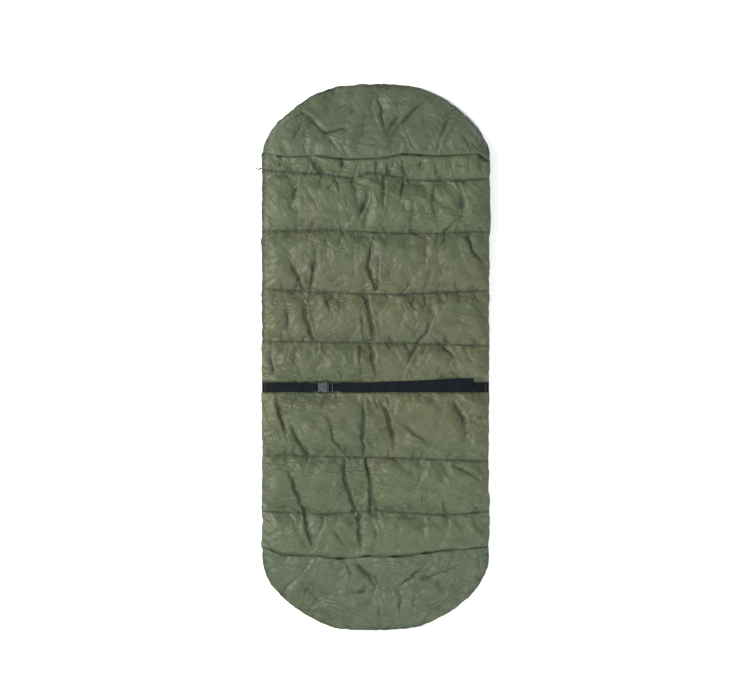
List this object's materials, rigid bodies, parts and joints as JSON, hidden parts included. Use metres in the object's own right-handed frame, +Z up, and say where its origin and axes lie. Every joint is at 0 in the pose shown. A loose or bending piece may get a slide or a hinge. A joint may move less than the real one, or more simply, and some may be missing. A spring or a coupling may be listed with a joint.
{
  "type": "bedchair sleeping bag",
  "caption": "Quilted sleeping bag that opens along one side, with end pockets and a buckled strap that hold it on a bedchair.",
  "frame": {"origin": "centre of the resting face, the flat outside of the cover quilt, midway between the long sides", "axes": "+X across the bag towards the hinge side, +Y along the bag towards the head, +Z up through the thickness; the side that lies on the bedchair faces up"},
  "size_m": [0.926, 2.16, 0.0858],
  "materials": {
    "olive_fabric": "woven polyester with a slight satin sheen",
    "pocket_fabric": "woven polyester with a slight satin sheen",
    "lining_fabric": "soft brushed polyester",
    "wadding": "hollow-fibre wadding",
    "webbing": "ribbed woven webbing",
    "thread": "bar-tacked thread",
    "zip_tape": "woven tape",
    "zip_coil": "moulded coil",
    "zip_metal": "plated",
    "grey_plastic": "moulded, fine texture"
  },
  "bodies": {
    "cover": {"cover_shell": "olive_fabric", "cover_filling": "wadding", "cover_lining": "lining_fabric", "cover_edge_binding": "olive_fabric", "cover_top_hem": "olive_fabric", "side_gusset": "olive_fabric", "draught_tube": "lining_fabric", "zip_tape_cover": "zip_tape", "zip_teeth_cover": "zip_coil", "zip_top_stop": "zip_metal"},
    "base": {"base_shell": "olive_fabric", "base_filling": "wadding", "base_lining": "lining_fabric", "base_edge_binding": "olive_fabric", "zip_tape_base": "zip_tape", "zip_teeth_base": "zip_coil", "head_pocket": "pocket_fabric", "head_pocket_rim": "pocket_fabric", "head_pocket_hem": "pocket_fabric", "foot_pocket": "pocket_fabric", "foot_pocket_rim": "pocket_fabric", "foot_pocket_hem": "pocket_fabric", "strap_left": "webbing", "strap_right": "webbing", "strap_tack_left": "thread", "strap_tack_right": "thread", "buckle_housing": "grey_plastic"},
    "zip_slider": {"zip_slider": "zip_metal"},
    "zip_pull": {"zip_pull": "zip_metal"},
    "buckle_plug": {"buckle_plug": "grey_plastic", "strap_tail": "webbing"},
    "latch_arm_upper": {"latch_arm_upper": "grey_plastic"},
    "latch_arm_lower": {"latch_arm_lower": "grey_plastic"}
  },
  "joints": [
    {"name": "side_fold", "type": "hinge", "parent": "cover", "child": "base", "pos_m": [0.45, 0, 0.042], "axis": [0, 1, 0], "range_deg": [0, 172]},
    {"name": "zip_travel", "type": "slide", "parent": "cover", "child": "zip_slider", "axis": [0, -1, 0], "range_m": [0, 1.45]},
    {"name": "pull_swing", "type": "hinge", "parent": "zip_slider", "child": "zip_pull", "pos_m": [-0.4551, 0.75, 0.0296], "axis": [0, 0, 1], "range_deg": [-80, 35]},
    {"name": "buckle_release", "type": "slide", "parent": "base", "child": "buckle_plug", "axis": [1, 0, 0], "range_m": [0, 0.034]},
    {"name": "latch_upper", "type": "hinge", "parent": "buckle_plug", "child": "latch_arm_upper", "pos_m": [-0.1925, -0.1118, 0.0755], "axis": [0, 0, 1], "range_deg": [0, 8], "stiffness_Nm_per_rad": 0.05},
    {"name": "latch_lower", "type": "hinge", "parent": "buckle_plug", "child": "latch_arm_lower", "pos_m": [-0.1925, -0.1322, 0.0755], "axis": [0, 0, -1], "range_deg": [0, 8], "stiffness_Nm_per_rad": 0.05}
  ]
}
